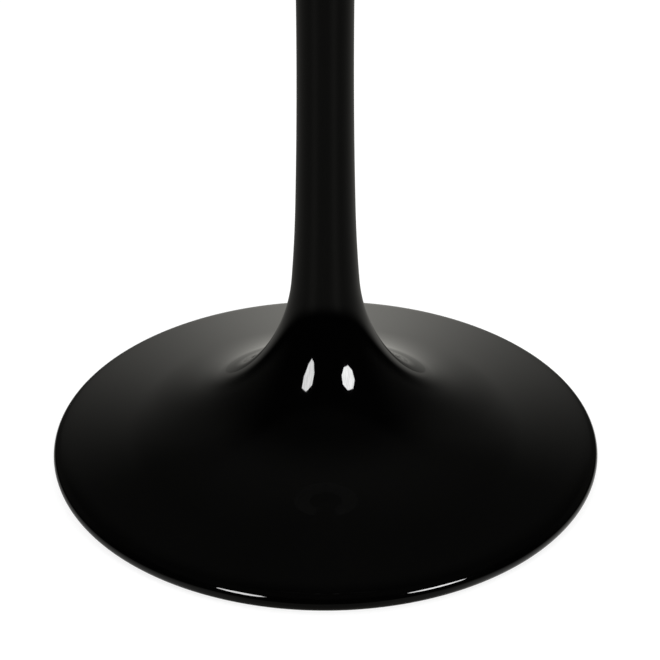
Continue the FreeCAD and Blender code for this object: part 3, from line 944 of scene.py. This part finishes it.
    def folded_glow(self, name, strength):
        """The light of a softbox, a little uneven along its folds."""
        material = new_glow(name)
        tree = material.node_tree
        spot = add_node(tree, "ShaderNodeTexCoord", (-900, 0))
        stretch = add_node(tree, "ShaderNodeMapping", (-700, 0), Scale=self.FOLD_STRETCH)
        folds = add_node(tree, "ShaderNodeTexNoise", (-500, 0), Scale=1.6, Detail=2.0)
        span = add_node(tree, "ShaderNodeMapRange", (-300, 0))
        set_range(span, *self.FOLD_RANGE, *[tone * strength for tone in self.FOLD_TONES])
        glow = add_node(tree, "ShaderNodeEmission", (0, 0))
        output = add_node(tree, "ShaderNodeOutputMaterial", (200, 0))
        tree.links.new(spot.outputs["Object"], stretch.inputs["Vector"])
        tree.links.new(stretch.outputs["Vector"], folds.inputs["Vector"])
        tree.links.new(folds.outputs["Fac"], span.inputs["Value"])
        tree.links.new(span.outputs["Result"], glow.inputs["Strength"])
        tree.links.new(glow.outputs["Emission"], output.inputs["Surface"])
        return material

    def light_room(self, scene, studio):
        """White to the camera and for soft light. The gloss mirrors a darker room with a glow behind."""
        world = bpy.data.worlds.new("studio_room")
        scene.world = world
        world.use_nodes = True
        tree = world.node_tree
        tree.nodes.clear()
        right, back, up = read_spot(tree, "Generated")
        shine = self.mirrored_backdrop(tree, studio, right, back, up)
        for part in (self.mirrored_room, self.mirrored_floor):
            shine = work_out(tree, "ADD", shine, part(tree, studio, right, back, up))
        mirrored = add_node(tree, "ShaderNodeBackground", (300, -100), Color=self.MIRRORED_TINT)
        ambient = add_node(tree, "ShaderNodeBackground", (300, 100), Color=(1, 1, 1, 1),
                           Strength=studio.ambient)
        path = add_node(tree, "ShaderNodeLightPath", (300, 500))
        choose = add_node(tree, "ShaderNodeMixShader", (550, 0))
        output = add_node(tree, "ShaderNodeOutputWorld", (750, 0))
        tree.links.new(shine, mirrored.inputs["Strength"])
        tree.links.new(path.outputs["Is Glossy Ray"], choose.inputs["Fac"])
        tree.links.new(ambient.outputs["Background"], choose.inputs[1])
        tree.links.new(mirrored.outputs["Background"], choose.inputs[2])
        tree.links.new(choose.outputs["Shader"], output.inputs["Surface"])

    def mirrored_backdrop(self, tree, studio, right, back, up):
        """The backdrop: brightest straight behind, softer to both sides, gone overhead and on the floor."""
        slant = work_out(tree, "DIVIDE", right, back)
        squared = work_out(tree, "MULTIPLY", slant, slant)
        spread = work_out(tree, "MULTIPLY_ADD", squared, self.BACKDROP_FALL, 1.0)
        glow = work_out(tree, "DIVIDE", studio.backdrop, work_out(tree, "MULTIPLY", spread, spread))
        for edge in (fade(tree, back, *self.BACKDROP_FRONT), fade(tree, up, *self.BACKDROP_TOP),
                     fade(tree, up, *self.BACKDROP_FOOT)):
            glow = work_out(tree, "MULTIPLY", glow, edge)
        return glow

    def mirrored_room(self, tree, studio, right, back, up):
        """The dim room behind and overhead, darker over the backdrop. In front it is black."""
        share = self.ROOM_LOWER_SHARE
        level = work_out(tree, "MULTIPLY_ADD", fade(tree, up, *self.ROOM_LOWER), share, share)
        behind = work_out(tree, "MULTIPLY", fade(tree, back, *self.ROOM_FRONT), level)
        overhead = work_out(tree, "MULTIPLY", fade(tree, up, *self.ROOM_OVERHEAD), self.ROOM_OVERHEAD_SHARE)
        room = work_out(tree, "MAXIMUM", behind, overhead)
        room = work_out(tree, "MULTIPLY", room, fade(tree, up, *self.ROOM_FOOT))
        over = work_out(tree, "MULTIPLY", self.towards(tree, right, back, 0, self.DIMMED_FOCUS),
                        fade(tree, up, *self.DIMMED_ABOVE))
        shine = studio.room_shine
        dim = work_out(tree, "MULTIPLY_ADD", over, -self.DIMMED_SHARE * shine, shine)
        return work_out(tree, "MULTIPLY", room, dim)

    def mirrored_floor(self, tree, studio, right, back, up):
        """The floor: dim, lighter to the right behind, with a faint pool under each softbox."""
        shine = studio.floor_shine
        for turn, focus, gain in self.FLOOR_POOLS:
            pool = self.towards(tree, right, back, turn, focus)
            shine = work_out(tree, "MULTIPLY_ADD", pool, gain, shine)
        return work_out(tree, "MULTIPLY", shine, fade(tree, up, *self.FLOOR_HORIZON))

    def towards(self, tree, right, back, turn, focus):
        """1 in one level direction, falling off to 0 at its sides."""
        turn = math.radians(turn)
        across = work_out(tree, "MULTIPLY", right, math.sin(turn))
        along = work_out(tree, "MULTIPLY_ADD", back, math.cos(turn), across)
        share = work_out(tree, "DIVIDE", along, level_length(tree, right, back))
        return work_out(tree, "POWER", work_out(tree, "MAXIMUM", share, 0.0), focus)

    def place_camera(self, scene, studio):
        """Set the camera in front of the foot, looking down on it."""
        tilt = math.pi / 2 - studio.camera_pitch
        bpy.ops.object.camera_add(location=studio.camera_place, rotation=(tilt, 0, 0))
        camera = bpy.context.object
        camera.name = "studio_camera"
        camera.data.lens = studio.lens
        camera.data.sensor_width = studio.sensor
        scene.camera = camera


class TABLEBASE_PT_panel(bpy.types.Panel):
    """Lists the pieces and their sizes"""

    bl_label = "Table base"
    bl_idname = "TABLEBASE_PT_panel"
    bl_space_type = "VIEW_3D"
    bl_region_type = "UI"
    bl_category = "Table base"

    def draw(self, context):
        scene = context.scene
        for operator in OPERATORS:
            self.layout.operator(operator.bl_idname)
        for group in (scene.pedestal_sizes, scene.fitting_sizes, scene.finishes, scene.studio):
            box = self.layout.box()
            for name in group.__annotations__:
                box.prop(group, name)


GROUPS = {
    "pedestal_sizes": PedestalSizes,
    "fitting_sizes": FittingSizes,
    "finishes": Finishes,
    "studio": StudioSettings,
}
OPERATORS = (
    TABLEBASE_OT_pedestal,
    TABLEBASE_OT_mounting_plate,
    TABLEBASE_OT_plate_screws,
    TABLEBASE_OT_floor_glides,
    TABLEBASE_OT_studio,
)


def register():
    for item in (*GROUPS.values(), *OPERATORS, TABLEBASE_PT_panel):
        bpy.utils.register_class(item)
    for name, group in GROUPS.items():
        setattr(bpy.types.Scene, name, PointerProperty(type=group))


def unregister():
    for name in GROUPS:
        delattr(bpy.types.Scene, name)
    for item in (TABLEBASE_PT_panel, *reversed(OPERATORS), *reversed(GROUPS.values())):
        bpy.utils.unregister_class(item)


def main():
    register()
    bpy.ops.tablebase.pedestal()
    bpy.ops.tablebase.mounting_plate()
    bpy.ops.tablebase.plate_screws()
    bpy.ops.tablebase.floor_glides()
    bpy.ops.tablebase.studio()


if __name__ == "__main__":
    main()
